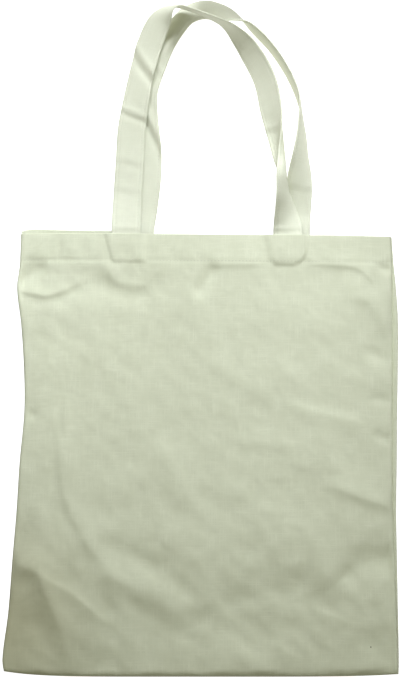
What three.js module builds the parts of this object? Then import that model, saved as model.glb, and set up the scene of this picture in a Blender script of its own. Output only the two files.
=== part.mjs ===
// A plain cotton tote bag lying on its back, with its two strap handles laid out above the mouth.
// Millimetres: X runs across the bag, Y from its bottom to the mouth and on to the handles, and
// Z up from the surface that it lies on. The origin is on the underside of the back panel.
import * as THREE from "three";

// Driving dimensions
const CLOTH = 1.2; // wall of one layer of cloth
const GAP = 0.3; // clearance between layers that are sewn together
const STRAP_WIDTH = 28.5;
const STRAP_THICK = 1.8;
const BOTTOM_UP = -215.8; // lowest point of the bottom fold
const MOUTH_UP = 209.5; // front edge of the mouth at its left end
const MOUTH_DROP = 3; // how much lower the mouth's right end lies
const CORNER_LIFT = 4.3; // how far the bottom fold comes up at its corners
const CORNER_POWER = 6; // and how late it does so
const HEM_DEPTH = 28; // folded band at the mouth
const END_INSET = 1; // from the end of a strap to the hem's row of stitches
const SEAM_REST = 0.84; // from the gap over the back panel to the middle of the front's wall at a seam
const RISE = 13; // height of the front over its seams
const SIDE_RUN = 86; // width over which the front climbs from a side seam
const BOTTOM_RUN = 130; // and from the bottom fold
const CLIMB = 2; // roundness of that climb
const SEAM_HOLD = 14; // width beside the seams where folds die out
const FOLD_FADE = 0.3; // share of a fold's length over which it comes and goes
const PAD_RISE = 0.8; // what a strap end lifts the front by, seen through the hem
const PAD_EDGE = 5; // width of the slope round that lift

// Where the back edge of the mouth shows past the front one, in shares of the width
const PEEK = { rise: 4, start: 0, full: 0.06, fall: 0.2, end: 0.4 };

// Outline of the body: a row for each height, with the left edge, the right side seam and the
// edge of the back panel where it comes round past that seam
const OUTLINE = [
  { up: -216, left: -187.5, seam: 184.4, fold: 184.6 },
  { up: -200, left: -190, seam: 184.6, fold: 185.2 },
  { up: -157, left: -185.4, seam: 184.4, fold: 185.3 },
  { up: -108, left: -182.5, seam: 183.3, fold: 185.4 },
  { up: -62, left: -179.5, seam: 182.7, fold: 185.6 },
  { up: -12, left: -177.2, seam: 183.4, fold: 187.2 },
  { up: 35, left: -173.8, seam: 184.3, fold: 188.6 },
  { up: 74, left: -174.7, seam: 185.2, fold: 190 },
  { up: 121, left: -178.5, seam: 186.2, fold: 191.3 },
  { up: 157, left: -183.2, seam: 186.6, fold: 190 },
  { up: 181, left: -181, seam: 186.9, fold: 188.2 },
  { up: 214, left: -180.4, seam: 186, fold: 186.7 },
];

// Folds of the front panel, from (x0, y0) to (x1, y1): bow bends the fold towards its left-hand
// side, lit and shade are its half widths on the left and right hand, and rise is its height,
// with a minus for a valley
const FOLDS = [
  { name: "left_under_hem", x0: -200, y0: 160, x1: -116, y1: 166, bow: -9, lit: 8, shade: 5, rise: 2.6 },
  { name: "left_strap_smile", x0: -100, y0: 178, x1: -28, y1: 182, bow: -18, lit: 10, shade: 5, rise: 1.8 },
  { name: "right_hem_slope", x0: 108, y0: 178, x1: 172, y1: 161, bow: 2, lit: 6, shade: 7, rise: 1.2 },
  { name: "right_shoulder", x0: 130, y0: 155, x1: 200, y1: 112, bow: -2, lit: 9, shade: 7, rise: 1.6 },
  { name: "right_mid_ridge", x0: 66, y0: 46, x1: 170, y1: 15, bow: 2, lit: 7, shade: 9, rise: 1.9 },
  { name: "right_low_ridge", x0: 116, y0: -28, x1: 204, y1: -60, bow: 2, lit: 10, shade: 7, rise: 2.6 },
  { name: "right_low_valley", x0: 82, y0: -150, x1: 206, y1: -86, bow: 0, lit: 8, shade: 7, rise: -2.8 },
  { name: "low_mid_valley", x0: 8, y0: -153, x1: 112, y1: -124, bow: -2, lit: 8, shade: 7, rise: -1.7 },
  { name: "centre_ridge", x0: -58, y0: 16, x1: 20, y1: -88, bow: -3, lit: 13, shade: 9, rise: 2.6 },
  { name: "left_long_fold", x0: -140, y0: 16, x1: -90, y1: -125, bow: -10, lit: 11, shade: 6, rise: 2.6 },
  { name: "left_low_ridge", x0: -186, y0: -94, x1: -118, y1: -214, bow: 8, lit: 14, shade: 9, rise: 4 },
  { name: "left_low_fan", x0: -158, y0: -119, x1: -92, y1: -172, bow: 0, lit: 6, shade: 8, rise: 1.7 },
  { name: "low_left_ridge", x0: -106, y0: -110, x1: -8, y1: -166, bow: 3, lit: 12, shade: 8, rise: 3.2 },
  { name: "low_right_ridge", x0: 84, y0: -150, x1: 146, y1: -173, bow: 0, lit: 6, shade: 8, rise: 1.4 },
  { name: "left_short_crease", x0: -133, y0: 50, x1: -136, y1: 10, bow: 0, lit: 6, shade: 5, rise: 1 },
  { name: "mid_crease", x0: 28, y0: 5, x1: 80, y1: -2, bow: 0, lit: 6, shade: 6, rise: 0.8 },
  { name: "edge_dent", x0: -190, y0: 34, x1: -125, y1: 36, bow: 0, lit: 6, shade: 6, rise: -1.2 },
  { name: "upper_dent", x0: -70, y0: 88, x1: 0, y1: 120, bow: 0, lit: 15, shade: 15, rise: -0.9 },
  { name: "middle_dent", x0: 10, y0: 66, x1: 84, y1: 124, bow: -12, lit: 14, shade: 14, rise: -0.9 },
];

// Heights of the layers at the mouth
const SEAM_Z = CLOTH + GAP + SEAM_REST; // middle of the front's wall where it meets the back
const BACK_END = 2 * (CLOTH + GAP); // underside of a strap end on the back hem
const HEM_STACK = 1.5 * CLOTH + 2 * GAP + STRAP_THICK; // half the front's wall, its hem and a strap
const FRONT_END = SEAM_Z + RISE - HEM_STACK; // and of one under the front hem
const TUCK_UP = MOUTH_UP - HEM_DEPTH + END_INSET; // where the strap ends stop, inside the hem

// Handles: a row for each section, from the left end to the right. x and y place the middle of
// the strap and lift its lowest point. lean turns the strap about its run, with 0 flat and 90 on
// edge, and curl is the arc that its width is bent to, in degrees, with a minus for face out
const FRONT_HANDLE = [
  { x: -75.8, y: TUCK_UP, lift: FRONT_END, lean: 0, curl: 0 },
  { x: -75.8, y: 211, lift: FRONT_END, lean: 0, curl: 0 },
  { x: -75.5, y: 228, lift: 7, lean: 4, curl: 0 },
  { x: -74.9, y: 250, lift: 1.2, lean: 10, curl: 0 },
  { x: -73, y: 287, lift: 0.4, lean: 10, curl: 0 },
  { x: -71.2, y: 320, lift: 0.4, lean: 12, curl: 0 },
  { x: -66.5, y: 350, lift: 0.6, lean: 22, curl: 0 },
  { x: -60.5, y: 380, lift: 1.2, lean: 25, curl: -10 },
  { x: -54, y: 404, lift: 4, lean: 20, curl: -20 },
  { x: -44.5, y: 426, lift: 9, lean: 26, curl: -20 },
  { x: -35, y: 436, lift: 13, lean: 52, curl: -20 },
  { x: -24, y: 438, lift: 15, lean: 72, curl: -20 },
  { x: -9, y: 433, lift: 16, lean: 76, curl: -10 },
  { x: 6, y: 427, lift: 16, lean: 78, curl: -10 },
  { x: 19, y: 421, lift: 15, lean: 84, curl: -20 },
  { x: 32, y: 413, lift: 7, lean: 104, curl: -30 },
  { x: 46, y: 398, lift: 0.6, lean: 124, curl: -15 },
  { x: 61, y: 369, lift: 0.4, lean: 132, curl: 0 },
  { x: 68.6, y: 338, lift: 0.4, lean: 134, curl: -30 },
  { x: 75, y: 308, lift: 0.8, lean: 118, curl: -120 },
  { x: 77.5, y: 286, lift: 4, lean: 98, curl: -165 },
  { x: 79, y: 267, lift: 9, lean: 74, curl: -110 },
  { x: 80.5, y: 248, lift: 6.6, lean: 58, curl: -40 },
  { x: 82.2, y: 231, lift: 4.2, lean: 36, curl: -10 },
  { x: 83.4, y: 218, lift: 7.6, lean: 12, curl: 0 },
  { x: 83.4, y: 209, lift: FRONT_END, lean: 0, curl: 0 },
  { x: 83.2, y: TUCK_UP - MOUTH_DROP, lift: FRONT_END, lean: 0, curl: 0 },
];
const BACK_HANDLE = [
  { x: -62.6, y: TUCK_UP, lift: BACK_END, lean: 0, curl: 0 },
  { x: -62.6, y: 215, lift: BACK_END, lean: 0, curl: 0 },
  { x: -60, y: 234, lift: 0.3, lean: 0, curl: 0 },
  { x: -56.4, y: 265, lift: 0.2, lean: 0, curl: 0 },
  { x: -55.6, y: 294, lift: 0.2, lean: 2, curl: 0 },
  { x: -59.2, y: 330, lift: 0.2, lean: 10, curl: 0 },
  { x: -59, y: 357, lift: 0.2, lean: 16, curl: -15 },
  { x: -50.5, y: 385, lift: 0.2, lean: 14, curl: -60 },
  { x: -41.2, y: 405.2, lift: 0.2, lean: 16, curl: -130 },
  { x: -28.8, y: 424.4, lift: 0.2, lean: 16, curl: -165 },
  { x: -16, y: 438.8, lift: 0.2, lean: 14, curl: -170 },
  { x: 2, y: 445, lift: 0.2, lean: 16, curl: -150 },
  { x: 19, y: 440.5, lift: 0.2, lean: 27, curl: -105 },
  { x: 35, y: 431.5, lift: 0.3, lean: 60, curl: -30 },
  { x: 48, y: 422, lift: 0.3, lean: 84, curl: -10 },
  { x: 68, y: 401, lift: 0.3, lean: 89, curl: -10 },
  { x: 85, y: 374, lift: 0.3, lean: 90, curl: -10 },
  { x: 95.5, y: 347, lift: 0.3, lean: 88, curl: -10 },
  { x: 98.8, y: 316, lift: 0.3, lean: 72, curl: -20 },
  { x: 98.6, y: 290, lift: 0.3, lean: 54, curl: -50 },
  { x: 97, y: 266, lift: 0.3, lean: 22, curl: -70 },
  { x: 94, y: 247, lift: 0.3, lean: 4, curl: -30 },
  { x: 92.4, y: 230, lift: 0.4, lean: 0, curl: 0 },
  { x: 91.4, y: 211, lift: BACK_END, lean: 0, curl: 0 },
  { x: 91.3, y: TUCK_UP - MOUTH_DROP, lift: BACK_END, lean: 0, curl: 0 },
];

// Fineness of the solids
const BODY_COLUMNS = 36;
const BODY_ROWS = 40; // from the bottom fold to the hem
const HEM_ROWS = 3;
const HEM_COLUMNS = BODY_COLUMNS - 2; // a hem stops one cell short of each side seam
const FLAT_CELLS = 12;
const STRAP_ACROSS = 4;
const STRAP_STEPS = 3; // between two rows of a handle's table
const STRAIGHT = 0.01; // curl under which a strap's section is flat, in radians

const UP = new THREE.Vector3(0, 0, 1);
const CENTRE = new THREE.Vector2(0, 0);
const { clamp, degToRad, lerp, smoothstep } = THREE.MathUtils;

// A smooth reading of one column of a table
function column(rows, by, key) {
  const places = rows.map((row) => row[by]);
  const values = rows.map((row) => row[key]);
  const curve = new THREE.CubicInterpolant(places, values, 1);
  return (place) => curve.evaluate(place)[0];
}

const leftEdge = column(OUTLINE, "up", "left");
const rightSeam = column(OUTLINE, "up", "seam");
const rightFold = column(OUTLINE, "up", "fold");

// Height along Y of the bottom fold and of the two edges of the mouth, with u from left to right
const bottomEdge = (u) => BOTTOM_UP + CORNER_LIFT * Math.abs(2 * u - 1) ** CORNER_POWER;
const frontMouth = (u) => MOUTH_UP - MOUTH_DROP * u;
const peek = (u) => smoothstep(u, PEEK.start, PEEK.full) * (1 - smoothstep(u, PEEK.fall, PEEK.end));
const backMouth = (u) => frontMouth(u) + PEEK.rise * peek(u);

const climb = (distance, run) => 1 - (1 - clamp(distance / run, 0, 1)) ** CLIMB;

function foldRise(x, y) {
  let rise = 0;
  for (const fold of FOLDS) {
    const run = new THREE.Vector2(fold.x1 - fold.x0, fold.y1 - fold.y0);
    const offset = new THREE.Vector2(x - fold.x0, y - fold.y0);
    const t = clamp(offset.dot(run) / run.lengthSq(), 0, 1);
    const across = run.cross(offset) / run.length() - fold.bow * 4 * t * (1 - t);
    const width = across > 0 ? fold.lit : fold.shade;
    const fade = smoothstep(t, 0, FOLD_FADE) * smoothstep(1 - t, 0, FOLD_FADE);
    rise += fold.rise * Math.exp(-0.5 * (across / width) ** 2) * fade;
  }
  return rise;
}

// What the ends of the front handle lift the cloth over them by
function padRise(x, y) {
  let rise = 0;
  for (const end of [FRONT_HANDLE.at(0), FRONT_HANDLE.at(-1)]) {
    const beside = Math.abs(x - end.x) - STRAP_WIDTH / 2;
    const below = end.y - y;
    rise += PAD_RISE * (1 - smoothstep(beside, 0, PAD_EDGE)) * (1 - smoothstep(below, 0, PAD_EDGE));
  }
  return rise;
}

// The middle of the front panel's wall
function frontPoint(u, y) {
  const left = leftEdge(y);
  const right = rightSeam(y);
  const x = lerp(left, right, u);
  const fromSide = Math.min(x - left, right - x);
  const fromBottom = y - bottomEdge(u);
  const underHem = frontMouth(u) - HEM_DEPTH - y;
  const crown = RISE * climb(fromSide, SIDE_RUN) * climb(fromBottom, BOTTOM_RUN);
  const free = smoothstep(Math.min(fromSide, fromBottom, underHem), 0, SEAM_HOLD);
  return new THREE.Vector3(x, y, SEAM_Z + crown + free * foldRise(x, y) + padRise(x, y));
}

function frontNormal(u, y) {
  const nearU = 0.002;
  const nearY = 0.5;
  const across = frontPoint(Math.min(u + nearU, 1), y).sub(frontPoint(Math.max(u - nearU, 0), y));
  const along = frontPoint(u, y + nearY).sub(frontPoint(u, y - nearY));
  return across.cross(along).normalize();
}

// A closed sheet: a flat box of many cells whose corners are put where place says, with u and v
// from 0 to 1 along its sides and face +1 on its upper face and -1 on its lower one
function sheetGeometry(columns, rows, place) {
  const sheet = new THREE.BoxGeometry(1, 1, 1, columns, rows, 1);
  const corners = sheet.attributes.position;
  const corner = new THREE.Vector3();
  for (let i = 0; i < corners.count; i += 1) {
    corner.fromBufferAttribute(corners, i);
    const point = place(corner.x + 0.5, corner.y + 0.5, Math.sign(corner.z));
    corners.setXYZ(i, point.x, point.y, point.z);
  }
  sheet.computeVertexNormals();
  return sheet;
}

function frontPanel() {
  const rows = BODY_ROWS + HEM_ROWS;
  return sheetGeometry(BODY_COLUMNS, rows, (u, v, face) => {
    const row = v * rows;
    const stitches = frontMouth(u) - HEM_DEPTH;
    const body = lerp(bottomEdge(u), stitches, row / BODY_ROWS);
    const hem = lerp(stitches, frontMouth(u), (row - BODY_ROWS) / HEM_ROWS);
    const y = row < BODY_ROWS ? body : hem;
    return frontPoint(u, y).addScaledVector(frontNormal(u, y), (face * CLOTH) / 2);
  });
}

function backPanel() {
  return sheetGeometry(FLAT_CELLS, FLAT_CELLS, (u, v, face) => {
    const y = lerp(bottomEdge(u), backMouth(u), v);
    const x = lerp(leftEdge(y), rightFold(y), u);
    return new THREE.Vector3(x, y, face > 0 ? CLOTH : 0);
  });
}

// The share of the body's width at a place on a hem, for u from 0 to 1 along the hem
const hemShare = (u) => (1 + u * HEM_COLUMNS) / BODY_COLUMNS;

function frontHem() {
  return sheetGeometry(HEM_COLUMNS, HEM_ROWS, (u, v, face) => {
    const share = hemShare(u);
    const y = frontMouth(share) - HEM_DEPTH * (1 - v);
    const inward = (face * CLOTH) / 2 - CLOTH - GAP;
    return frontPoint(share, y).addScaledVector(frontNormal(share, y), inward);
  });
}

function backHem() {
  return sheetGeometry(FLAT_CELLS, HEM_ROWS, (u, v, face) => {
    const share = hemShare(u);
    const y = backMouth(share) - HEM_DEPTH * (1 - v);
    const x = lerp(leftEdge(y), rightSeam(y), share);
    return new THREE.Vector3(x, y, CLOTH + GAP + (face > 0 ? CLOTH : 0));
  });
}

// A point of a strap's section: side runs from -1 to 1 over its width. It is given on the axes
// across and out, with out the way that the strap's right face looks
function sectionPoint(side, face, curl) {
  const bend = (side * curl) / 2;
  const flat = Math.abs(curl) < STRAIGHT;
  const radius = flat ? 0 : STRAP_WIDTH / curl;
  const across = flat ? (side * STRAP_WIDTH) / 2 : radius * Math.sin(bend);
  const out = flat ? 0 : radius * (Math.sin(curl / 2) / (curl / 2) - Math.cos(bend));
  const half = (face * STRAP_THICK) / 2;
  return new THREE.Vector2(across - half * Math.sin(bend), out + half * Math.cos(bend));
}

function strap(rows) {
  const route = new THREE.CatmullRomCurve3(rows.map((row) => new THREE.Vector3(row.x, row.y, 0)));
  const turns = ["lift", "lean", "curl"].map((key) => {
    const numbered = rows.map((row, index) => ({ index, [key]: row[key] }));
    return column(numbered, "index", key);
  });
  const steps = (rows.length - 1) * STRAP_STEPS;
  return sheetGeometry(STRAP_ACROSS, steps, (u, v, face) => {
    const middle = route.getPoint(v);
    const across = route.getTangent(v).cross(UP);
    const [lift, lean, curl] = turns.map((read) => read(v * (rows.length - 1)));
    const turn = degToRad(lean);
    const place = (side, skin) => {
      const spot = sectionPoint(side, skin, degToRad(curl));
      return spot.rotateAround(CENTRE, turn);
    };
    let lowest = Infinity;
    for (let i = 0; i <= STRAP_ACROSS; i += 1) {
      const side = (2 * i) / STRAP_ACROSS - 1;
      lowest = Math.min(lowest, place(side, 1).y, place(side, -1).y);
    }
    const point = place(2 * u - 1, face);
    return middle.addScaledVector(across, point.x).addScaledVector(UP, lift + point.y - lowest);
  });
}

const COTTON = { color: "#d9dcc4", roughness: 0.95, metalness: 0 };
const STRAP_COTTON = { color: "#e3e5d2", roughness: 0.95, metalness: 0 };

function piece(name, geometry, look) {
  const mesh = new THREE.Mesh(geometry, new THREE.MeshStandardMaterial(look));
  mesh.name = name;
  return mesh;
}

const body = new THREE.Group();
body.add(piece("front_panel", frontPanel(), COTTON));
body.add(piece("back_panel", backPanel(), COTTON));
body.add(piece("front_hem", frontHem(), COTTON));
body.add(piece("back_hem", backHem(), COTTON));

const handles = new THREE.Group();
handles.add(piece("front_handle", strap(FRONT_HANDLE), STRAP_COTTON));
handles.add(piece("back_handle", strap(BACK_HANDLE), STRAP_COTTON));

const toteBag = new THREE.Group();
toteBag.add(body, handles);

export default toteBag;
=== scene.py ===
import math

import bpy
import numpy as np
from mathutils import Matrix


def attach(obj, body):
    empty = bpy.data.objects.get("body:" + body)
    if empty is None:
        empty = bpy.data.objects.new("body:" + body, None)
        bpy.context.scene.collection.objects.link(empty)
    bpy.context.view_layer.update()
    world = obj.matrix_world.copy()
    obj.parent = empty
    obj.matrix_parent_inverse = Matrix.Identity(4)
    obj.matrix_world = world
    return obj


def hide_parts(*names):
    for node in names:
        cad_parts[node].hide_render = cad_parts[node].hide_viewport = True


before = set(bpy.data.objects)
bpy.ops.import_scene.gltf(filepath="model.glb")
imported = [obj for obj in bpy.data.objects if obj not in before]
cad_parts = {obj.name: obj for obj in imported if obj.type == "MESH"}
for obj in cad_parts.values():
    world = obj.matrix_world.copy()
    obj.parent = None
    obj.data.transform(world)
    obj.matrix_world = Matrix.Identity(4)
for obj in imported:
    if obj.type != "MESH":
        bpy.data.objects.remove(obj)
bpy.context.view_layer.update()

# A plain cotton tote bag lying on its back. The bag and the camera are in millimetres, and mm turns
# them to metres. Floor and lamps are in metres.
mm = 0.001
scene = bpy.context.scene
scene.view_settings.view_transform = "Standard"
print("frame loaded with", sorted(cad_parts))


# Camera, nearly straight above
cameraSetup = {
    "aim": (-3, 107),  # the point of the floor in the middle of the picture
    "tilt": 9,  # degrees off straight down, towards the bottom of the bag
    "distance": 1400,
    "lens": 75.93,
    "sensor": 36,  # along the tall side of the picture
}


def addCamera(setup):
    data = bpy.data.cameras.new("camera")
    data.lens = setup["lens"]
    data.sensor_fit = "VERTICAL"
    data.sensor_height = setup["sensor"]
    camera = bpy.data.objects.new("camera", data)
    tilt = math.radians(setup["tilt"])
    x, y = setup["aim"]
    back = setup["distance"] * math.sin(tilt)
    up = setup["distance"] * math.cos(tilt)
    camera.location = (x * mm, (y - back) * mm, up * mm)
    camera.rotation_euler = (tilt, 0, 0)
    scene.collection.objects.link(camera)
    scene.camera = camera


addCamera(cameraSetup)
print("camera placed")


# Small tools for curves and grids
def smoothstep(x, low, high):
    t = np.clip((x - low) / (high - low), 0, 1)
    return t * t * (3 - 2 * t)


def lerp(a, b, t):
    return a + (b - a) * t


def curveThrough(places, values):
    # smooth curve through the values, with the slope at each from its two neighbours
    places = np.array(places, float)
    values = np.array(values, float)
    slopes = np.empty_like(values)
    slopes[1:-1] = (values[2:] - values[:-2]) / (places[2:] - places[:-2])
    slopes[0] = (values[1] - values[0]) / (places[1] - places[0])
    slopes[-1] = (values[-1] - values[-2]) / (places[-1] - places[-2])

    def read(at):
        at = np.clip(at, places[0], places[-1])
        i = np.clip(np.searchsorted(places, at, side="right") - 1, 0, len(places) - 2)
        span = places[i + 1] - places[i]
        t = (at - places[i]) / span
        start = (2 * t**3 - 3 * t**2 + 1) * values[i] + (t**3 - 2 * t**2 + t) * span * slopes[i]
        end = (3 * t**2 - 2 * t**3) * values[i + 1] + (t**3 - t**2) * span * slopes[i + 1]
        return start + end

    return read


def gridFaces(points, uvs, first=0, closed=False):
    # quads of a grid of points, with its corner uvs; closed joins the last column to the first
    rows, columns = points.shape[:2]
    index = first + np.arange(rows * columns).reshape(rows, columns)
    if closed:
        index = np.concatenate([index, index[:, :1]], axis=1)
    corners = [(slice(0, -1), slice(0, -1)), (slice(0, -1), slice(1, None))]
    corners += [(slice(1, None), slice(1, None)), (slice(1, None), slice(0, -1))]
    quads = np.stack([index[c] for c in corners], axis=-1).reshape(-1, 4)
    quadUvs = np.stack([uvs[c] for c in corners], axis=2).reshape(-1, 2)
    return quads, quadUvs


def addMesh(name, points, faces, uvs, material):
    # uvs hold one row for each face corner, in millimetres of cloth
    mesh = bpy.data.meshes.new(name)
    mesh.from_pydata((points.reshape(-1, 3) * mm).tolist(), [], faces)
    layer = mesh.uv_layers.new(name="cloth")
    layer.data.foreach_set("uv", (uvs * mm).ravel())
    mesh.shade_smooth()
    mesh.materials.append(material)
    piece = bpy.data.objects.new(name, mesh)
    scene.collection.objects.link(piece)
    return piece


def addGrids(name, grids, material):
    # one mesh from several open grids, each a pair of points and uvs
    faces = []
    corners = []
    first = 0
    for points, uvs in grids:
        quads, quadUvs = gridFaces(points, uvs, first)
        faces += quads.tolist()
        corners.append(quadUvs)
        first += points.shape[0] * points.shape[1]
    every = np.concatenate([points.reshape(-1, 3) for points, _ in grids])
    return addMesh(name, every, faces, np.concatenate(corners), material)


# Cotton: plain weave, thicker yarns here and there, soft clouds of tone and one dark speck
clothLook = {
    "tone": (0.755, 0.778, 0.625),
    "shadeTone": (0.665, 0.688, 0.535),
    "yarnPitch": 0.62,  # millimetres from one yarn to the next
    "weaveDepth": 0.05,
    "slubDepth": 0.10,
    "slubLumps": (40, 900),  # to the metre, along a yarn and across it
    "slubRange": (0.38, 0.72),  # noise of the darkest and of the lightest yarn
    "cloudLumps": 75,
    "cloudRange": (0.35, 0.65),
    "cloudShare": 0.75,  # of the shade tone in the darkest cloud
    "crumpleLumps": 42,
    "crumpleDepth": 0.95,
    "roughness": 0.92,
    "roughSpread": (-0.1, 0.06),
    "specular": 0.2,
    "sheen": 0.06,
    "sheenRoughness": 0.6,
    "warmTone": (0.40, 0.37, 0.22),  # painted shade: the cloth is drawn darker and browner at its low left corner, where the light falls off
    "paintedShadeAt": (-200, -165),
    "paintedShadeReach": 130,
    "paintedShadeShare": 0.56,
    "fleck": (158.3, -188.9),  # one dark seed speck in the cloth
    "fleckSize": 0.9,
    "fleckCore": 0.4,  # share of its size that is fully dark
    "fleckTone": (0.16, 0.15, 0.09),
}
strapLook = dict(clothLook, tone=(0.752, 0.768, 0.64), shadeTone=(0.700, 0.716, 0.586))
strapLook.update(fleck=None, warmTone=None)
threadLook = {
    # painted shade: the thread is drawn darker than the cloth, for the shade along the rows of stitches
    "tone": (0.62, 0.635, 0.51),
    "plyShadeShare": 0.8,  # painted shade between two plies, as a share of the tone
    "roughness": 0.8,
    "twist": 1.1,
    "wander": 1.5,
    "plyDepth": 0.1,
    "plyStrength": 0.6,
}


def addNode(tree, kind, inputs=(), **settings):
    node = tree.nodes.new(kind)
    for key, value in settings.items():
        setattr(node, key, value)
    for key, value in inputs:
        if isinstance(value, bpy.types.NodeSocket):
            tree.links.new(value, node.inputs[key])
        else:
            node.inputs[key].default_value = value
    return node


def mathNode(tree, operation, a, b=None):
    inputs = [(0, a)] if b is None else [(0, a), (1, b)]
    return addNode(tree, "ShaderNodeMath", inputs, operation=operation).outputs[0]


def blendTones(tree, amount, low, high):
    # low is a tone or comes from another node
    if not isinstance(low, bpy.types.NodeSocket):
        low = (*low, 1)
    inputs = [(0, amount), (6, low), (7, (*high, 1))]  # 6 and 7 are the sockets for colours
    return addNode(tree, "ShaderNodeMix", inputs, data_type="RGBA").outputs[2]


def mapRange(tree, value, fromRange, toRange=(0, 1), blend="LINEAR"):
    inputs = [("Value", value)]
    inputs += zip(("From Min", "From Max", "To Min", "To Max"), (*fromRange, *toRange))
    return addNode(tree, "ShaderNodeMapRange", inputs, interpolation_type=blend).outputs[0]


def awayFrom(tree, where, place):
    # distance over the cloth from a place in millimetres
    x, y = place
    inputs = [(0, where), (1, (x * mm, y * mm, 0))]
    return addNode(tree, "ShaderNodeVectorMath", inputs, operation="DISTANCE").outputs["Value"]


def yarnNoise(tree, where, along, across, detail):
    # noise drawn out along the yarn; along and across are lumps to the metre
    inputs = [("Vector", where), ("Scale", (along, across, 1))]
    stretched = addNode(tree, "ShaderNodeMapping", inputs).outputs[0]
    inputs = [("Vector", stretched), ("Scale", 1.0), ("Detail", detail), ("Roughness", 0.55)]
    return addNode(tree, "ShaderNodeTexNoise", inputs).outputs[0]


def newMaterial(name):
    # a material and its shader
    material = bpy.data.materials.new(name)
    material.use_nodes = True
    return material, material.node_tree.nodes["Principled BSDF"]


def cottonMaterial(name, look):
    material, shader = newMaterial(name)
    tree = material.node_tree
    where = addNode(tree, "ShaderNodeUVMap", uv_map="cloth").outputs[0]
    axes = addNode(tree, "ShaderNodeSeparateXYZ", [(0, where)])
    yarns = 2 * math.pi / (look["yarnPitch"] * mm)
    warp = mathNode(tree, "SINE", mathNode(tree, "MULTIPLY", axes.outputs[0], yarns))
    weft = mathNode(tree, "SINE", mathNode(tree, "MULTIPLY", axes.outputs[1], yarns))
    weave = mathNode(tree, "MULTIPLY", warp, weft)
    along, across = look["slubLumps"]
    slubAlong = yarnNoise(tree, where, along, across, detail=2.0)
    slubAcross = yarnNoise(tree, where, across, along, detail=2.0)
    slub = mathNode(tree, "MAXIMUM", slubAlong, slubAcross)
    cloud = yarnNoise(tree, where, look["cloudLumps"], look["cloudLumps"], detail=6.0)
    crumple = yarnNoise(tree, where, look["crumpleLumps"], look["crumpleLumps"], detail=2.0)

    grain = mapRange(tree, slub, look["slubRange"])
    tone = blendTones(tree, grain, look["shadeTone"], look["tone"])
    cloudShare = mapRange(tree, cloud, look["cloudRange"], (0, look["cloudShare"]))
    tone = blendTones(tree, cloudShare, tone, look["shadeTone"])
    # painted shade, darker and browner towards the low left corner
    if look["warmTone"]:
        away = awayFrom(tree, where, look["paintedShadeAt"])
        reach = look["paintedShadeReach"] * mm
        warm = mapRange(tree, away, (0, reach), (look["paintedShadeShare"], 0), blend="SMOOTHSTEP")
        tone = blendTones(tree, warm, tone, look["warmTone"])
    if look["fleck"]:
        away = awayFrom(tree, where, look["fleck"])
        reach = look["fleckSize"] * mm
        fleck = mapRange(tree, away, (look["fleckCore"] * reach, reach), (1, 0))
        tone = blendTones(tree, fleck, tone, look["fleckTone"])
    tree.links.new(tone, shader.inputs["Base Color"])

    roughRange = [look["roughness"] + spread for spread in look["roughSpread"]]
    tree.links.new(mapRange(tree, slub, (0, 1), roughRange), shader.inputs["Roughness"])
    shader.inputs["Sheen Weight"].default_value = look["sheen"]
    shader.inputs["Sheen Roughness"].default_value = look["sheenRoughness"]
    shader.inputs["Specular IOR Level"].default_value = look["specular"]

    height = mathNode(tree, "MULTIPLY", weave, look["weaveDepth"])
    height = mathNode(tree, "ADD", height, mathNode(tree, "MULTIPLY", slub, look["slubDepth"]))
    height = mathNode(tree, "ADD", height, mathNode(tree, "MULTIPLY", crumple, look["crumpleDepth"]))
    bump = addNode(tree, "ShaderNodeBump", [("Height", height), ("Distance", mm), ("Strength", 1.0)])
    tree.links.new(bump.outputs[0], shader.inputs["Normal"])
    return material


def threadMaterial(name, look):
    material, shader = newMaterial(name)
    tree = material.node_tree
    where = addNode(tree, "ShaderNodeUVMap", uv_map="cloth").outputs[0]
    bands = 0.5 / (look["twist"] * mm)
    inputs = [("Vector", where), ("Scale", bands), ("Distortion", look["wander"])]
    ply = addNode(tree, "ShaderNodeTexWave", inputs, bands_direction="DIAGONAL").outputs[1]
    # painted shade in the grooves between the plies
    plyShade = tuple(look["plyShadeShare"] * part for part in look["tone"])
    tree.links.new(blendTones(tree, ply, plyShade, look["tone"]), shader.inputs["Base Color"])
    depth = look["plyDepth"] * mm
    inputs = [("Height", ply), ("Distance", depth), ("Strength", look["plyStrength"])]
    bump = addNode(tree, "ShaderNodeBump", inputs)
    tree.links.new(bump.outputs[0], shader.inputs["Normal"])
    shader.inputs["Roughness"].default_value = look["roughness"]
    return material


bodyCotton = cottonMaterial("bodyCotton", clothLook)
strapCotton = cottonMaterial("strapCotton", strapLook)
sewingThread = threadMaterial("sewingThread", threadLook)
print("cotton and thread mixed")


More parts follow.
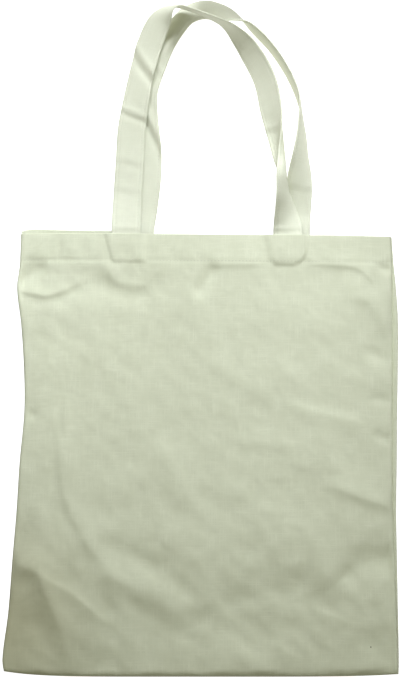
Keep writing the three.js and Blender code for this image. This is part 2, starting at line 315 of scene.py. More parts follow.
# Body: both panels share this outline
body = {
    "panel": (372, 424),  # width and height, for the number of vertices
    "bottomUp": -216.5,
    "mouthUp": 209.5,
    "mouthDrop": 3,  # the right end of the mouth lies lower
    "mouthEnds": 2,  # both ends of the mouth lie a little higher than its middle
    "cornerLift": (5, 2.4),  # left and right corner of the bottom
    "cornerPower": 6,
    "hemDepth": 28,
    "seamZ": 2.74,  # outer face of the front where it meets the back
    "peek": {"rise": 6, "start": -0.06, "full": 0.05, "fall": 0.22, "end": 0.4},
}
outline = [
    {"up": -216, "left": -187.5, "seam": 184.4, "fold": 184.6},
    {"up": -200, "left": -190, "seam": 184.6, "fold": 185.2},
    {"up": -157, "left": -185.4, "seam": 184.4, "fold": 185.3},
    {"up": -108, "left": -182.5, "seam": 183.3, "fold": 185.4},
    {"up": -62, "left": -179.5, "seam": 182.7, "fold": 185.6},
    {"up": -12, "left": -177.2, "seam": 183.4, "fold": 187.2},
    {"up": 35, "left": -173.8, "seam": 184.3, "fold": 188.6},
    {"up": 74, "left": -174.7, "seam": 185.2, "fold": 190},
    {"up": 121, "left": -178.5, "seam": 186.2, "fold": 191.3},
    {"up": 157, "left": -183.2, "seam": 186.6, "fold": 190},
    {"up": 181, "left": -181, "seam": 186.9, "fold": 188.2},
    {"up": 214, "left": -180.4, "seam": 186, "fold": 186.7},
]
ups = [row["up"] for row in outline]
leftEdge = curveThrough(ups, [row["left"] for row in outline])
rightSeam = curveThrough(ups, [row["seam"] for row in outline])
rightFold = curveThrough(ups, [row["fold"] for row in outline])


def bottomEdge(u):
    return body["bottomUp"] + lerp(*body["cornerLift"], u) * np.abs(2 * u - 1) ** body["cornerPower"]


def frontMouth(u):
    ends = np.abs(2 * u - 1) ** body["cornerPower"]
    return body["mouthUp"] - body["mouthDrop"] * u + body["mouthEnds"] * ends


def backMouth(u):
    peek = body["peek"]
    shown = smoothstep(u, peek["start"], peek["full"]) * (1 - smoothstep(u, peek["fall"], peek["end"]))
    return frontMouth(u) + peek["rise"] * shown


# Front panel: a low crown with folds, hemmed at the mouth
frontCloth = {
    "rise": 11,
    "sideRun": 86,
    "bottomRun": 130,
    "climb": 2,
    "rim": 3.2,  # rounding where the cloth turns down to a seam
    "hold": 7,  # folds die out this close to a seam
    "hemHold": 16,  # and over this much of the hem
    "bottomRoll": 2.2,  # the fold along the bottom stands this much higher than seamZ
    "bottomRim": (3.2, 10),  # at the left and the right end
    "sideRoll": (0.4, 0.9),  # the left and the right seam have this share of that roll
    "sideTurn": (0.3, 0.7),  # between these shares of the width the one turns into the other
    "rollRun": 30,  # and this far from a seam the roll is full
    "edgeZ": 0.7,
    "hemRoll": 0.55,
    "hemShort": 0.5,  # the turned-in cloth stops this far above the hem's lower edge
    "hemUnder": 0.1,  # and may lie this much lower than the edge of the panel
    "hemRows": 16,
    "turnRows": 6,
    "turnTo": 75,  # degrees either way over the fold of the hem
    "pucker": 0.6,
    "holeShare": 0.4,  # share of the pucker that comes and goes with the stitches
    "rowUp": 1.5,  # the row of stitches lies this far above the hem's lower edge
    "rowWidth": 1.7,
    "stitch": 3.4,
    "spacing": 1.75,  # millimetres from one vertex to the next
    "seed": 11,
    "unevenness": 0.1,
    "wavelengths": (16, 90),
    "waves": 64,
    "lowUneven": 1.1,  # this much more towards the bottom
    "lowFrom": (20, 150),  # it starts and is full this far below the middle of the bag
}
# lit and shade are the widths left and right of the path, start and end the shares over which it fades
foldColumns = ("lit", "shade", "rise", "sharp", "start", "end", "path")
folds = {
    "leftNotch": (6, 6, -2.2, 0.2, 0.15, 0.3, [(-196, 155), (-180, 164), (-168, 171), (-150, 181)]),
    "rightNotch": (3.5, 4, -2.2, 0.2, 0.4, 0.1, [(166, 177), (178, 176), (194, 173)]),
    "leftUnderHem": (
        14, 2.6, 2.5, 0.4, 0.4, 0.4,
        [(-206, 160), (-171, 152), (-152, 148), (-134, 154), (-106, 170)],
    ),
    "leftStrapSmile": (
        20, 5.5, 3.2, 0.3, 0.25, 0.5,
        [(-95, 190), (-92, 173), (-85, 163), (-73, 159), (-59, 159), (-45, 172), (-22, 187)],
    ),
    "besideRightPad": (10, 2.2, 0.9, 0.3, 0.25, 0.25, [(-4, 180), (21, 178), (41, 178), (66, 179)]),
    "downFromHem": (5, 5, -2.6, 0, 0.3, 0.3, [(15, 182), (3, 162), (-9, 142)]),
    "rightHemSlope": (
        12, 2.2, 1.3, 0.3, 0.25, 0.25,
        [(98, 180), (124, 178), (150, 175), (161, 168), (174, 152)],
    ),
    "rightShoulder": (14, 5, 1.8, 0.2, 0.25, 0.25, [(130, 145), (161, 144), (170, 132), (187, 104)]),
    "upperDiagonal": (14, 6, 0.7, 0, 0.25, 0.25, [(-4, 92), (24, 69), (45, 56), (84, 37)]),
    "rightMidRidge": (4, 8, 1.0, 0.5, 0.25, 0.25, [(70, 44), (103, 34), (132, 27), (164, 17)]),
    "midCrease": (9, 4.5, 0.8, 0.2, 0.25, 0.25, [(22, 9), (45, 4), (62, 2), (96, 0)]),
    "lowMidCrease": (10, 5, 0.8, 0.1, 0.25, 0.25, [(82, -15), (140, -22)]),
    "rightLowRidge": (
        12, 4.5, 2.4, 0.3, 0.25, 0.25,
        [(114, -33), (133, -41), (148, -47), (163, -52), (182, -57), (202, -60)],
    ),
    "rightLowValley": (
        9, 12, -4.4, 0.2, 0.25, 0.15,
        [(126, -136), (140, -123), (152, -112), (168, -107), (212, -104)],
    ),
    "lowMidValley": (
        12, 9, -2.6, 0, 0.25, 0.25,
        [(8, -153), (35, -145), (56, -138), (76, -134), (120, -129)],
    ),
    "lowRightRidge": (3, 9, 1.0, 0.6, 0.25, 0.4, [(98, -154), (112, -157), (128, -163), (148, -172)]),
    "rightLowTail": (4.5, 9, -1.3, 0.1, 0.25, 0.25, [(84, -152), (114, -139), (129, -130), (148, -110)]),
    "centreRidge": (9, 12, 2.4, 0.1, 0.25, 0.4, [(-48, 16), (-38, -8), (-28, -30), (-14, -52), (12, -84)]),
    "leftLongFold": (
        9, 4, 1.9, 0.2, 0.25, 0.25,
        [(-138, 22), (-136, -10), (-133, -38), (-122, -70), (-106, -96), (-84, -121)],
    ),
    "leftLowRidge": (
        12, 8, 6.4, 0.45, 0.18, 0.75,
        [(-190, -106), (-166, -115), (-156, -120), (-149, -136), (-134, -173), (-112, -236)],
    ),
    "leftLowFan": (
        3.5, 6, 1.7, 0.6, 0.25, 0.25,
        [(-162, -115), (-145, -128), (-128, -137), (-111, -150), (-88, -171)],
    ),
    "lowLeftRidge": (
        10, 11, 4.2, 0.1, 0.25, 0.25,
        [(-112, -110), (-86, -124), (-64, -132), (-46, -139), (-28, -152), (-10, -172)],
    ),
    "lowLeftValley": (7, 7, -1.1, 0.1, 0.25, 0.25, [(-114, -91), (-84, -98), (-64, -106), (-34, -121)]),
    "shortCrease": (6, 2, 0.8, 0.3, 0.25, 0.25, [(-131, 52), (-133, 33), (-132, 6)]),
    "edgeDent": (4, 4, -1.2, 0.4, 0.25, 0.25, [(-186, 35), (-158, 30)]),
    "seamNickHigh": (5, 5, -1.4, 0, 0.25, 0.25, [(154, 96), (190, 80)]),
    "seamNickMiddle": (4, 4, -1.2, 0, 0.25, 0.25, [(158, 49), (190, 43)]),
    "seamNickLow": (4, 4, -1.4, 0, 0.25, 0.25, [(160, 14), (192, 1)]),
    "wrinkleHigh": (5, 3.5, 0.35, 0.2, 0.25, 0.25, [(44, -29), (98, -31)]),
    "wrinkleMiddle": (5, 3.5, 0.35, 0.2, 0.25, 0.25, [(46, -59), (70, -63), (90, -62)]),
    "wrinkleLow": (5, 3.5, 0.35, 0.2, 0.25, 0.25, [(70, -70), (102, -80)]),
    "wrinkleLeft": (9, 5, 0.6, 0, 0.25, 0.25, [(6, -40), (48, -52)]),
    "bottomCrease": (3, 5, 0.45, 0.4, 0.25, 0.25, [(62, -182), (76, -191), (92, -201)]),
    "lowSlope": (22, 20, -4.2, 0, 0.25, 0.25, [(-120, -136), (0, -160), (80, -164), (176, -158)]),
    "underHemDip": (12, 12, -3.0, 0, 0.1, 0.3, [(-196, 160), (-120, 158), (-60, 157), (-5, 160)]),
    "upperDent": (15, 15, -0.6, 0, 0.25, 0.25, [(-70, 88), (0, 120)]),
}
pads = {  # where the strap ends, sewn inside the hem, stand out through it
    "left": {
        "left": -90, "right": -62, "bottom": 182, "slant": 0.26, "rise": 1.6,
        "leftEdge": 2.2, "rightEdge": 9, "bottomEdge": 2.6, "bow": 0,
    },
    "right": {
        "left": 62, "right": 99, "bottom": 180, "slant": 0.26, "rise": 2.0,
        "leftEdge": 10, "rightEdge": 5, "bottomEdge": 5, "bow": 8,
    },
}


def pathThrough(places):
    # short straight steps along a smooth curve through the places
    places = np.array(places, float)
    lengths = np.concatenate([[0], np.cumsum(np.hypot(*np.diff(places, axis=0).T))])
    s = np.linspace(0, lengths[-1], 4 * len(places))
    x = curveThrough(lengths, places[:, 0])(s)
    y = curveThrough(lengths, places[:, 1])(s)
    return np.stack([x, y], axis=-1)


def fromPath(x, y, places):
    # distance from the path, above nought on its left, and the share of the path passed
    path = pathThrough(places)
    nearest = np.full(x.shape, np.inf)
    across = np.zeros_like(x)
    passed = np.zeros_like(x)
    for i, (a, b) in enumerate(zip(path[:-1], path[1:])):
        run = b - a
        t = np.clip(((x - a[0]) * run[0] + (y - a[1]) * run[1]) / (run @ run), 0, 1)
        offX = x - a[0] - t * run[0]
        offY = y - a[1] - t * run[1]
        away = np.hypot(offX, offY)
        side = np.where(run[0] * offY - run[1] * offX > 0, 1, -1)
        closer = away < nearest
        nearest = np.where(closer, away, nearest)
        across = np.where(closer, side * away, across)
        passed = np.where(closer, (i + t) / (len(path) - 1), passed)
    return across, passed


def foldRise(x, y):
    rounding = 0.3  # of the top of a sharp fold, in its width
    rise = np.zeros_like(x)
    for row in folds.values():
        fold = dict(zip(foldColumns, row))
        across, t = fromPath(x, y, fold["path"])
        width = np.where(across > 0, fold["lit"], fold["shade"])
        reach = np.abs(across) / width
        soft = np.exp(-0.5 * reach**2)
        keen = np.exp(rounding - np.sqrt(reach**2 + rounding**2))
        fade = smoothstep(t, 0, fold["start"]) * smoothstep(1 - t, 0, fold["end"])
        rise += fold["rise"] * lerp(soft, keen, fold["sharp"]) * fade
    return rise


def unevenRise(x, y):
    # slight unevenness of cloth that has been folded and shaken out
    random = np.random.default_rng(frontCloth["seed"])
    rise = np.zeros_like(x)
    shortest, longest = frontCloth["wavelengths"]
    for wavelength in np.geomspace(shortest, longest, frontCloth["waves"]):
        heading = random.uniform(0, 2 * math.pi)
        phase = random.uniform(0, 2 * math.pi)
        wave = (x * math.cos(heading) + y * math.sin(heading)) * 2 * math.pi / wavelength
        rise += frontCloth["unevenness"] * wavelength / longest * np.sin(wave + phase)
    return rise


def climb(distance, run):
    return 1 - (1 - np.clip(distance / run, 0, 1)) ** frontCloth["climb"]


def turnDown(distance, rim):
    # share of the height left where the cloth rounds down to its edge
    return np.sqrt(1 - (1 - np.clip(distance / rim, 0, 1)) ** 2)


def padRise(x, y):
    bowPower = 4
    bowReach = 1.2
    rise = np.zeros_like(x)
    for pad in pads.values():
        offMiddle = np.abs(2 * x - pad["left"] - pad["right"]) / (pad["right"] - pad["left"])
        above = y - pad["bottom"] - pad["bow"] * np.minimum(offMiddle, bowReach) ** bowPower
        left = smoothstep(x - pad["left"] + pad["slant"] * above, 0, pad["leftEdge"])
        right = 1 - smoothstep(x - pad["right"], 0, pad["rightEdge"])
        rise += pad["rise"] * left * right * smoothstep(above, -pad["bottomEdge"], 0)
    return rise


def puckerRise(x, underHem):
    # the row of stitches pulls the hem down, most at the needle holes
    share = frontCloth["holeShare"]
    holes = 1 - share + share * np.cos(2 * math.pi * x / frontCloth["stitch"])
    away = (underHem + frontCloth["rowUp"]) / frontCloth["rowWidth"]
    return -frontCloth["pucker"] * holes * np.exp(-(away**2))


def frontHeight(u, y):
    left = leftEdge(y)
    right = rightSeam(y)
    x = lerp(left, right, u)
    fromSide = np.minimum(x - left, right - x)
    fromBottom = y - bottomEdge(u)
    underHem = frontMouth(u) - body["hemDepth"] - y
    crown = frontCloth["rise"] * climb(fromSide, frontCloth["sideRun"])
    crown = crown * climb(fromBottom, frontCloth["bottomRun"])
    loose = smoothstep(np.minimum(fromSide, fromBottom), 0, frontCloth["hold"])
    free = loose * smoothstep(underHem, -frontCloth["hemHold"], 1)
    sideRoll = lerp(*frontCloth["sideRoll"], smoothstep(u, *frontCloth["sideTurn"]))
    rolled = lerp(sideRoll, 1, smoothstep(fromSide, 0, frontCloth["rollRun"]))
    seam = body["seamZ"] + frontCloth["bottomRoll"] * rolled - frontCloth["edgeZ"]
    bottomRim = lerp(*frontCloth["bottomRim"], u)
    rounded = turnDown(fromSide, frontCloth["rim"]) * turnDown(fromBottom, bottomRim)
    low = smoothstep(-y, *frontCloth["lowFrom"])
    uneven = unevenRise(x, y) * (1 + frontCloth["lowUneven"] * low)
    shape = free * foldRise(x, y) + loose * uneven
    sewn = padRise(x, y) + puckerRise(x, underHem)
    return x, frontCloth["edgeZ"] + seam * rounded + crown + shape + sewn


edgeShares = np.array([0, 0.03, 0.1, 0.22, 0.4, 0.65])  # steps over a rim, close together at the edge


def edgeSteps(length, spacing, rim):
    # distances from 0 to length, close together at both ends where the cloth turns down
    fine = rim * edgeShares
    middle = np.linspace(rim, length - rim, int(length / spacing))
    return np.concatenate([fine, middle, length - fine[::-1]])


def buildFront():
    roll = frontCloth["hemRoll"]
    rim = frontCloth["rim"]
    width, height = body["panel"]
    u = edgeSteps(width, frontCloth["spacing"], rim)
    u = (u / u[-1])[None, :]
    mouth = frontMouth(u)
    hem = np.linspace(body["hemDepth"] - frontCloth["hemShort"], roll, frontCloth["hemRows"])[:, None]
    turn = np.linspace(-frontCloth["turnTo"], frontCloth["turnTo"], frontCloth["turnRows"])
    turn = np.radians(turn)[:, None]
    face = edgeSteps(height, frontCloth["spacing"], rim)[len(edgeShares):]  # no fine steps at the hem
    face = (face - face[0])[:, None] / (face[-1] - face[0])
    y = np.concatenate(
        [
            mouth - hem,
            mouth - roll + roll * np.cos(turn),
            lerp(mouth - roll, bottomEdge(u), face),
        ]
    )
    drop = np.concatenate([0 * hem - 2 * roll, roll * np.sin(turn) - roll, 0 * face])
    x, z = frontHeight(np.broadcast_to(u, y.shape), y)
    z = np.maximum(z + drop, frontCloth["edgeZ"] - frontCloth["hemUnder"] * (drop != 0))
    points = np.stack([x, y, z], axis=-1)
    along = np.concatenate([mouth + hem, 0 * turn + mouth, y[len(hem) + len(turn):]])
    uvs = np.stack([x, along], axis=-1)
    return addGrids("frontCloth", [(points, uvs)], bodyCotton)


front = buildFront()
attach(front, "root")
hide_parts("front_panel", "front_hem")
print("front panel made,", len(front.data.polygons), "faces")


# Back panel: flat where it lies, and brought round past the side seam on the right
backCloth = {
    "layZ": 0.4,
    "hemLift": 1.5,
    "hemEnds": (0.012, 0.988),  # shares of the width
    "hemShift": 400,  # the hem shows another patch of the weave
    "hemGap": 0.2,  # between the flat rows of the hem and the rows over its fold
    "hemRows": 12,
    "overRows": 7,
    "short": 0.4,  # the panel stops this far below the fold of its hem
    "roll": (0.3, 1.4),  # smallest and largest radius of the rolled right edge
    "rollShare": 0.45,
    "rollTurn": (-75, 90),  # degrees
    "rollRows": 8,
    "lipRows": 5,
    "lipDrop": 0.8,  # how far the rolled edge sinks at the seam, in radii
    "tuck": 0.6,  # and how far it reaches under the front
    "spacing": 4,
    "inset": 0.25,
}


def rightRoll(y):
    return np.clip((rightFold(y) - rightSeam(y)) * backCloth["rollShare"], *backCloth["roll"])


def buildBack():
    # each column holds x, y, z and the place across the cloth
    width, height = body["panel"]
    flat = np.linspace(0, 1, int(width / backCloth["spacing"]))
    turn = np.radians(np.linspace(*backCloth["rollTurn"], backCloth["rollRows"]))
    lip = np.linspace(1 / backCloth["lipRows"], 1, backCloth["lipRows"])
    v = np.linspace(0, 1, int(height / backCloth["spacing"]))[:, None]
    columns = []
    for share in flat:
        y = lerp(bottomEdge(share), backMouth(share) - backCloth["short"], v)
        x = lerp(leftEdge(y) + backCloth["inset"], rightFold(y) - rightRoll(y), share)
        columns.append(np.stack([x, y, 0 * y + backCloth["layZ"], x], axis=-1))
    y = lerp(bottomEdge(1), backMouth(1) - backCloth["short"], v)
    fold = rightFold(y)
    seam = rightSeam(y)
    roll = rightRoll(y)
    for angle in turn:
        x = fold - roll + roll * math.cos(angle)
        z = backCloth["layZ"] + roll + roll * math.sin(angle)
        columns.append(np.stack([x, y, z, fold + roll * (1 + angle)], axis=-1))
    for share in lip:
        x = lerp(fold - roll, seam - backCloth["tuck"], share)
        z = backCloth["layZ"] + 2 * roll - backCloth["lipDrop"] * roll * share**3
        columns.append(np.stack([x, y, z, fold + 3 * roll + (fold - seam) * share], axis=-1))
    panel = np.concatenate(columns, axis=1)
    panelUvs = np.stack([panel[..., 3], panel[..., 1]], axis=-1)

    u = np.linspace(*backCloth["hemEnds"], len(flat))[None, :]
    mouth = backMouth(u)
    half = backCloth["hemLift"] / 2
    hem = np.linspace(body["hemDepth"], half + backCloth["hemGap"], backCloth["hemRows"])[:, None]
    over = np.radians(np.linspace(90, -90, backCloth["overRows"]))[:, None]
    y = np.concatenate([mouth - hem, mouth - half + half * np.cos(over)])
    lift = np.concatenate([0 * hem + 2 * half, half + half * np.sin(over)])
    x = lerp(leftEdge(y), rightSeam(y), u)
    band = np.stack([x, y, 0 * y + backCloth["layZ"] + lift], axis=-1)
    bandUvs = np.stack([x, y + backCloth["hemShift"]], axis=-1)
    return addGrids("backCloth", [(panel[..., :3], panelUvs), (band, bandUvs)], bodyCotton)


back = buildBack()
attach(back, "root")
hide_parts("back_panel", "back_hem")
print("back panel made,", len(back.data.polygons), "faces")


# Handles: flat straps, folded and sewn along both edges
strap = {
    "width": 28.5,
    "half": 0.9,  # half the thickness
    "edgeHalf": 0.35,
    "edgePower": 14,  # higher keeps more of the width at full thickness
    "groove": 0.5,  # how deep the rows of stitches pull in
    "grooveWidth": 0.055,  # as a share of half the width
    "seamIn": 3.2,  # from a row of stitches to the edge
    "leastCurl": -0.6,  # degrees, so that the radius stays finite
    "leastLift": 0.15,
    "creaseFloor": 0.5,  # creases push nothing below this height
    "across": 22,
    "crowding": 0.35,  # how much the vertices crowd towards the edges
    "step": 2.0,
}
sewnSide = 1 - 2 * strap["seamIn"] / strap["width"]  # place of the stitches, from 0 in the middle to 1
frontEnd = 11.14  # underside of a strap end under the front hem
backEnd = 3.0  # and of one on the back hem
# lift is the height of the lowest point, lean and curl are in degrees
strapColumns = ("x", "y", "lift", "lean", "curl")
frontStations = [
    (-75.8, 182.5, frontEnd, 0, 0),
    (-75.8, 211, frontEnd, 0, 0),
    (-75.5, 228, 7, 4, 0),
    (-74.9, 250, 1.2, 10, 0),
    (-73, 287, 0.4, 10, 0),
    (-71.2, 320, 0.4, 12, 0),
    (-66.5, 350, 0.6, 22, 0),
    (-60.5, 380, 1.2, 25, -10),
    (-54, 404, 4, 20, -20),
    (-44.5, 426, 9, 26, -20),
    (-35, 436, 13, 52, -20),
    (-24, 438, 15, 72, -20),
    (-9, 433, 16, 76, -10),
    (6, 427, 16, 78, -10),
    (19, 421, 15, 84, -20),
    (32, 413, 7, 104, -30),
    (46, 398, 0.6, 124, -15),
    (61, 369, 0.4, 132, 0),
    (68.6, 338, 0.4, 134, -30),
    (75, 308, 0.8, 118, -120),
    (77.5, 286, 4, 98, -165),
    (79, 267, 9, 74, -110),
    (80.5, 248, 6.6, 58, -40),
    (82.2, 231, 4.2, 36, -10),
    (83.4, 218, 7.6, 12, 0),
    (83.4, 209, frontEnd, 0, 0),
    (83.2, 179.5, frontEnd, 0, 0),
]
backStations = [
    (-62.6, 182.5, backEnd, 0, 0),
    (-62.6, 215, backEnd, 0, 0),
    (-60, 234, 0.3, 0, 0),
    (-56.4, 265, 0.2, 0, 0),
    (-55.6, 294, 0.2, 2, 0),
    (-59.2, 330, 0.2, 10, 0),
    (-59, 357, 0.2, 16, -15),
    (-50.5, 385, 0.2, 14, -60),
    (-41.2, 405.2, 0.2, 16, -130),
    (-28.8, 424.4, 0.2, 16, -165),
    (-16, 438.8, 0.2, 14, -170),
    (2, 445, 0.2, 16, -150),
    (19, 440.5, 0.2, 27, -105),
    (35, 431.5, 0.3, 60, -30),
    (48, 422, 0.3, 84, -10),
    (68, 401, 0.3, 89, -10),
    (85, 374, 0.3, 90, -10),
    (95.5, 347, 0.3, 88, -10),
    (98.8, 316, 0.3, 72, -20),
    (98.6, 290, 0.3, 54, -50),
    (97, 266, 0.3, 22, -70),
    (94, 247, 0.3, 4, -30),
    (92.4, 230, 0.4, 0, 0),
    (91.4, 211, backEnd, 0, 0),
    (91.3, 179.5, backEnd, 0, 0),
]
# at is the length along the strap, slant the run of the crease from edge to edge
creaseColumns = ("at", "slant", "depth", "width")
frontCreases = [
    (31, 0, 0.6, 2),
    (72, -5, 0.6, 3.5),
    (101, -6, 0.7, 3.5),
    (150, -9, 1.6, 3),
    (202, -26, 3.6, 5),
    (440, 4, -1.0, 3),
    (545, 2, -0.9, 2),
]
backCreases = [
    (156, -88, 2.8, 11),
    (205, -20, 1.0, 3),
    (405, 6, -1.0, 3),
    (520, 3, -0.4, 3),
]


def strapRoute(stations, creases):
    # readers of the strap's middle line and turns, by the length along it
    table = {key: np.array([row[i] for row in stations], float) for i, key in enumerate(strapColumns)}
    chords = np.hypot(np.diff(table["x"]), np.diff(table["y"]))
    lengths = np.concatenate([[0], np.cumsum(chords)])
    route = {key: curveThrough(lengths, values) for key, values in table.items()}
    route["length"] = lengths[-1]
    route["creases"] = creases
    return route


def creaseRise(route, s, side):
    # each crease dips on one side of its line and rises on the other
    rise = 0 * s * side
    for row in route["creases"]:
        crease = dict(zip(creaseColumns, row))
        away = (s - crease["at"] - crease["slant"] * side / 2) / crease["width"]
        rise = rise + crease["depth"] * away * np.exp(-0.5 * away**2)
    return rise


def strapPoint(route, s, side, face):
    # a point on the strap at length s, with side from -1 to 1 over its width and face 1 or -1
    curl = np.radians(np.minimum(route["curl"](s), strap["leastCurl"]))
    lean = np.radians(route["lean"](s))
    sides = np.linspace(-1, 1, 9)  # places over the width where the lowest point is looked for

    def section(sideAt, out):
        bend = sideAt * curl / 2
        radius = strap["width"] / curl
        across = radius * np.sin(bend) - out * np.sin(bend)
        rise = radius * (np.sin(curl / 2) / (curl / 2) - np.cos(bend)) + out * np.cos(bend)
        return across * np.cos(lean) - rise * np.sin(lean), across * np.sin(lean) + rise * np.cos(lean)

    lowest = np.min([section(a, f * strap["half"])[1] for a in sides for f in (-1, 1)], axis=0)
    rounding = np.sqrt(np.clip(1 - np.abs(side) ** strap["edgePower"], 0, 1))
    fromRow = (np.abs(side) - sewnSide) / strap["grooveWidth"]
    groove = strap["groove"] * np.exp(-(fromRow**2))
    thick = lerp(strap["edgeHalf"], strap["half"], rounding) - groove
    across, rise = section(side, face * thick)
    near = 0.25  # half the step over which the direction is measured
    tangentX = route["x"](s + near) - route["x"](s - near)
    tangentY = route["y"](s + near) - route["y"](s - near)
    size = np.hypot(tangentX, tangentY)
    x = route["x"](s) + across * tangentY / size
    y = route["y"](s) - across * tangentX / size
    z = np.maximum(route["lift"](s), strap["leastLift"]) + rise - lowest
    z = np.maximum(z + creaseRise(route, s, side), np.minimum(z, strap["creaseFloor"]))
    return np.stack(np.broadcast_arrays(x, y, z), axis=-1)


def buildStrap(name, route):
    sides = np.linspace(-1, 1, strap["across"] + 1)
    sides = np.sin(sides * math.pi / 2) * strap["crowding"] + sides * (1 - strap["crowding"])
    around = np.concatenate([sides, sides[::-1]])[None, :]
    upOrDown = np.concatenate([np.ones(len(sides)), -np.ones(len(sides))])[None, :]
    s = np.linspace(0, route["length"], int(route["length"] / strap["step"]))[:, None]
    points = strapPoint(route, s, around, upOrDown)
    half = strap["width"] / 2
    across = np.concatenate([sides * half, (2 - sides[::-1]) * half, [3 * half]])[None, :]
    uvs = np.stack(np.broadcast_arrays(across, s), axis=-1)
    quads, quadUvs = gridFaces(points, uvs, closed=True)
    rows, columns = points.shape[:2]
    first = list(range(columns))[::-1]
    last = [(rows - 1) * columns + i for i in range(columns)]
    faces = quads.tolist() + [first, last]
    endUvs = np.zeros((2 * columns, 2))
    return addMesh(name, points, faces, np.concatenate([quadUvs, endUvs]), strapCotton)


frontRoute = strapRoute(frontStations, frontCreases)
backRoute = strapRoute(backStations, backCreases)
frontHandle = buildStrap("frontHandle", frontRoute)
backHandle = buildStrap("backHandle", backRoute)
for handle, node in ((frontHandle, "front_handle"), (backHandle, "back_handle")):
    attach(handle, "root")
    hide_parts(node)
print("handles made,", round(frontRoute["length"]), "and", round(backRoute["length"]), "mm long")


# Stitches: short lengths of thread that lie on the cloth and dip in at both ends
thread = {
    "radius": 0.28,
    "strapStitch": 3.0,
    "strapEnds": 34,  # the rows stop this far from the ends of a strap
    "hemEnds": 5,  # and this far from the side seams
    "share": 0.72,  # of each stitch that shows
    "sink": 0.1,
    "lowest": 0.1,  # under a strap the floor presses the thread flat
    "sides": 6,
}


def addStitches(name, middles, runs, normals, length):
    # middles, runs and normals hold one row for each stitch
    runs = runs / np.linalg.norm(runs, axis=1, keepdims=True)
    normals = normals / np.linalg.norm(normals, axis=1, keepdims=True)
    besides = np.cross(runs, normals)
    along = np.array([-0.5, -0.32, 0.0, 0.32, 0.5]) * length * thread["share"]
    girth = np.array([0.35, 0.9, 1.0, 0.9, 0.35]) * thread["radius"]
    dip = np.array([-1.6, -0.3, 0.0, -0.3, -1.6]) * thread["radius"] - thread["sink"]
    turn = np.linspace(0, 2 * math.pi, thread["sides"], endpoint=False)
    ring = np.stack([np.cos(turn), np.sin(turn)], axis=-1)
    points = (
        middles[:, None, None, :]
        + runs[:, None, None, :] * along[None, :, None, None]
        + normals[:, None, None, :] * (dip[:, None] + girth[:, None] * ring[:, 1])[None, :, :, None]
        + besides[:, None, None, :] * (girth[:, None] * ring[:, 0])[None, :, :, None]
    )
    points[..., 2] = np.maximum(points[..., 2], thread["lowest"])
    stitches, rings, sides = points.shape[:3]
    index = np.arange(stitches * rings * sides).reshape(stitches, rings, sides)
    beside = np.roll(index, -1, axis=2)
    corners = [index[:, :-1], beside[:, :-1], beside[:, 1:], index[:, 1:]]
    quads = np.stack(corners, axis=-1).reshape(-1, 4)
    v = np.broadcast_to(along[None, :, None], index.shape).ravel()
    u = np.broadcast_to((turn * thread["radius"])[None, None, :], index.shape).ravel()
    uvs = np.stack([u, v], axis=-1)[quads.ravel()]
    return addMesh(name, points, quads.tolist(), uvs, sewingThread)


def sewStrap(name, route):
    length = thread["strapStitch"]
    s = np.arange(thread["strapEnds"], route["length"] - thread["strapEnds"], length)
    near = 0.8  # small steps along and across, to find how the strap lies
    nearSide = 0.05
    middles = []
    runs = []
    normals = []
    for side in (-sewnSide, sewnSide):
        for face in (-1, 1):
            run = strapPoint(route, s + near, side, face) - strapPoint(route, s - near, side, face)
            right = strapPoint(route, s, side + nearSide, face)
            left = strapPoint(route, s, side - nearSide, face)
            middles.append(strapPoint(route, s, side, face))
            runs.append(run)
            normals.append(face * np.cross(right - left, run))
    middles = np.concatenate(middles)
    return addStitches(name, middles, np.concatenate(runs), np.concatenate(normals), length)


def sewHem():
    length = frontCloth["stitch"]
    width = body["panel"][0]
    u = np.arange(thread["hemEnds"], width - thread["hemEnds"], length) / width
    y = frontMouth(u) - body["hemDepth"] + frontCloth["rowUp"]

    def on(uAt, yAt):
        x, z = frontHeight(uAt, yAt)
        return np.stack([x, yAt, z], axis=-1)

    nearU = 0.002  # small steps across and up, to find how the hem lies
    nearY = 0.5
    run = on(u + nearU, y) - on(u - nearU, y)
    up = on(u, y + nearY) - on(u, y - nearY)
    return addStitches("hemThread", on(u, y), run, np.cross(run, up), length)


hemThread = sewHem()
frontThread = sewStrap("frontHandleThread", frontRoute)
backThread = sewStrap("backHandleThread", backRoute)
sewnTo = [(hemThread, "body_cotton"), (frontThread, "strap_cotton"), (backThread, "strap_cotton")]
for rows, cloth in sewnTo:
    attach(rows, "root")
print("stitches sewn")


# Floor and lamps
floorLook = {
    "reach": 40,
    "split": 0.225,  # the paper by the handles throws light back, the paper below does not
    "tone": (0.45, 0.45, 0.45),
    "glow": 1.0,
    "roughness": 0.9,
    "specular": 0.1,
    "shade": (0.05, 0.045, 0.03),
    "shadeZ": -0.002,
}
lamps = {
    "key": {
        "at": (0.28, 1.3, 1.1),
        "aim": (0.045, 0.125, 0),
        "cone": 30,  # degrees, soft all the way to its edge
        "size": 0.22,
        "power": 113,
        "tone": (0.96, 1, 1.06),
    },
    "overHandles": {
        "at": (-0.45, 1.0, 1.1),
        "aim": (0.05, 0.42, 0),
        "cone": 20,
        "size": 0.12,
        "power": 33,
        "tone": (0.97, 1, 1.06),
    },
    "overLeft": {
        "at": (-0.3, 1.2, 1.1),
        "aim": (-0.37, 0.26, 0),
        "cone": 25,
        "size": 0.12,
        "power": 99,
        "tone": (0.96, 1, 1.06),
    },
}
flagLook = {
    "over": (0.026, 0.441, 0.014),  # the place that it shades
    "away": 0.06,
    "size": (0.07, 0.034),
}
skyLook = {"tone": (1.0, 1, 0.79), "strength": 0.33}


def addQuad(name, corners):
    mesh = bpy.data.meshes.new(name)
    mesh.from_pydata(corners, [], [(0, 1, 2, 3)])
    quad = bpy.data.objects.new(name, mesh)
    scene.collection.objects.link(quad)
    return quad


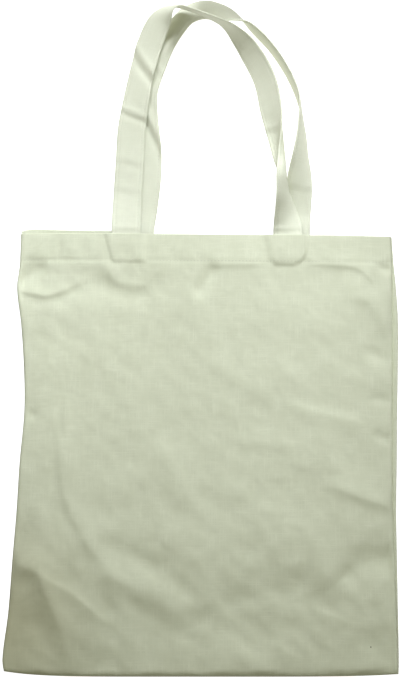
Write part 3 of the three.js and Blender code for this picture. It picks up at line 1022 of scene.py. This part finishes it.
def groundCorners(reach, low, high, z):
    return [(-reach, low, z), (reach, low, z), (reach, high, z), (-reach, high, z)]


def addFloor(name, look, low, high, bounce):
    # white paper from low to high along the bag; bounce tells whether it throws light back at the cloth
    floor = addQuad(name, groundCorners(look["reach"], low, high, 0))
    material, shader = newMaterial(name)
    shader.inputs["Base Color"].default_value = (*look["tone"], 1)
    shader.inputs["Roughness"].default_value = look["roughness"]
    shader.inputs["Specular IOR Level"].default_value = look["specular"]
    shader.inputs["Emission Color"].default_value = (1, 1, 1, 1)
    shader.inputs["Emission Strength"].default_value = look["glow"]
    floor.data.materials.append(material)
    floor.visible_diffuse = bounce
    floor.visible_glossy = bounce


def addShade(look):
    # dark ground under the paper, seen by the cloth but not by the camera, for the dark line round the body
    ground = addQuad("shade", groundCorners(look["reach"], -look["reach"], look["split"], look["shadeZ"]))
    material, shader = newMaterial("shade")
    shader.inputs["Base Color"].default_value = (*look["shade"], 1)
    ground.data.materials.append(material)
    ground.visible_camera = False


def addLamp(name, look):
    data = bpy.data.lights.new(name, "SPOT")
    data.spot_size = math.radians(look["cone"])
    data.spot_blend = 1
    data.shadow_soft_size = look["size"]
    data.energy = look["power"]
    data.color = look["tone"]
    lamp = bpy.data.objects.new(name, data)
    lamp.location = look["at"]
    towards = [a - b for a, b in zip(look["aim"], look["at"])]
    flat = math.hypot(towards[0], towards[1])
    lamp.rotation_euler = (math.atan2(flat, -towards[2]), 0, math.atan2(-towards[0], towards[1]))
    scene.collection.objects.link(lamp)


def addFlag(look, lamp):
    # card held between a lamp and the crest of the back strap; it only casts a soft shadow
    over = np.array(look["over"])
    towards = np.array(lamp["at"]) - over
    towards /= np.linalg.norm(towards)
    across = np.cross(towards, (0, 0, 1))
    across *= look["size"][0] / 2 / np.linalg.norm(across)
    up = np.cross(across, towards)
    up *= look["size"][1] / 2 / np.linalg.norm(up)
    middle = over + look["away"] * towards
    corners = [middle - across - up, middle + across - up, middle + across + up, middle - across + up]
    flag = addQuad("flag", [corner.tolist() for corner in corners])
    flag.visible_camera = False
    flag.visible_diffuse = False
    flag.visible_glossy = False


addFloor("floor", floorLook, -floorLook["reach"], floorLook["split"], False)
addFloor("floorByHandles", floorLook, floorLook["split"], floorLook["reach"], True)
addShade(floorLook)
addFlag(flagLook, lamps["key"])
for name, look in lamps.items():
    addLamp(name, look)
sky = bpy.data.worlds.new("sky")
sky.use_nodes = True
sky.node_tree.nodes["Background"].inputs[0].default_value = (*skyLook["tone"], 1)
sky.node_tree.nodes["Background"].inputs[1].default_value = skyLook["strength"]
scene.world = sky
print("floor and lamps set")
